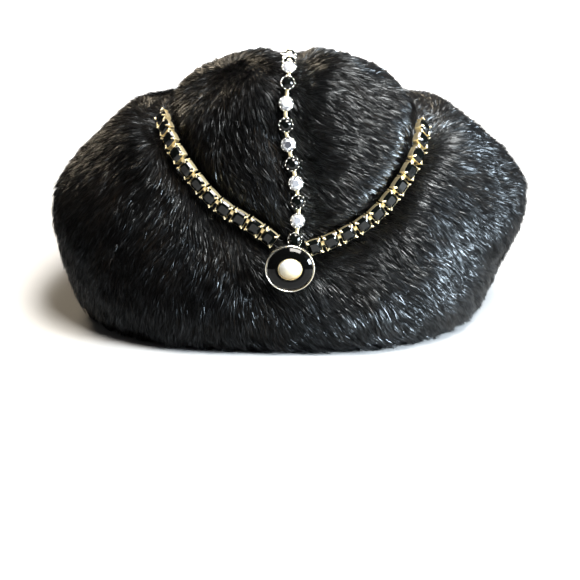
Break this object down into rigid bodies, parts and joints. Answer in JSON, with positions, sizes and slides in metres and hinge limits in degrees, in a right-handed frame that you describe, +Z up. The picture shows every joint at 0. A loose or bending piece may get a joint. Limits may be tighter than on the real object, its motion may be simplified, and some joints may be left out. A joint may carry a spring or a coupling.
{
  "type": "fur pillbox hat",
  "caption": "Large black fur hat with a puffed cuff and a domed crown in two lobes, trimmed with chains of clear and black stones and a pearl medallion.",
  "frame": {"origin": "middle of the hat's plan, on the plane that the cuff rests on", "axes": "+Z up through the crown, the front with its medallion faces -Y, +X to the right as seen from the front"},
  "size_m": [0.2848, 0.2662, 0.1523],
  "materials": {
    "fur": "short dense glossy black fur with a blue-grey sheen, brown at the tips against the light",
    "silver": "polished silver-coloured metal",
    "clear_stone": "cut clear rhinestone in a pale metal cup",
    "black_stone": "cut black stone in a metal cup",
    "black_glass": "glossy black glass",
    "pearl": "cream pearl lustre"
  },
  "bodies": {
    "root": {"crown": "fur", "cuff": "fur", "centre_stone_01": "black_stone", "centre_stone_02": "clear_stone", "centre_stone_03": "black_stone", "centre_stone_04": "clear_stone", "centre_stone_05": "black_stone", "centre_stone_06": "clear_stone", "centre_stone_07": "black_stone", "centre_stone_08": "clear_stone", "centre_stone_09": "black_stone", "centre_stone_10": "clear_stone", "centre_stone_11": "black_stone", "centre_stone_12": "clear_stone", "centre_stone_13": "black_stone", "centre_stone_14": "clear_stone", "left_stone_01": "black_stone", "left_stone_02": "black_stone", "left_stone_03": "black_stone", "left_stone_04": "black_stone", "left_stone_05": "black_stone", "left_stone_06": "black_stone", "left_stone_07": "black_stone", "left_stone_08": "black_stone", "left_stone_09": "black_stone", "left_stone_10": "black_stone", "left_stone_11": "black_stone", "right_stone_01": "black_stone", "right_stone_02": "black_stone", "right_stone_03": "black_stone", "right_stone_04": "black_stone", "right_stone_05": "black_stone", "right_stone_06": "black_stone", "right_stone_07": "black_stone", "right_stone_08": "black_stone", "right_stone_09": "black_stone", "right_stone_10": "black_stone", "right_stone_11": "black_stone", "medallion_bezel": "silver", "medallion_disc": "black_glass", "medallion_pearl": "pearl"}
  },
  "joints": []
}
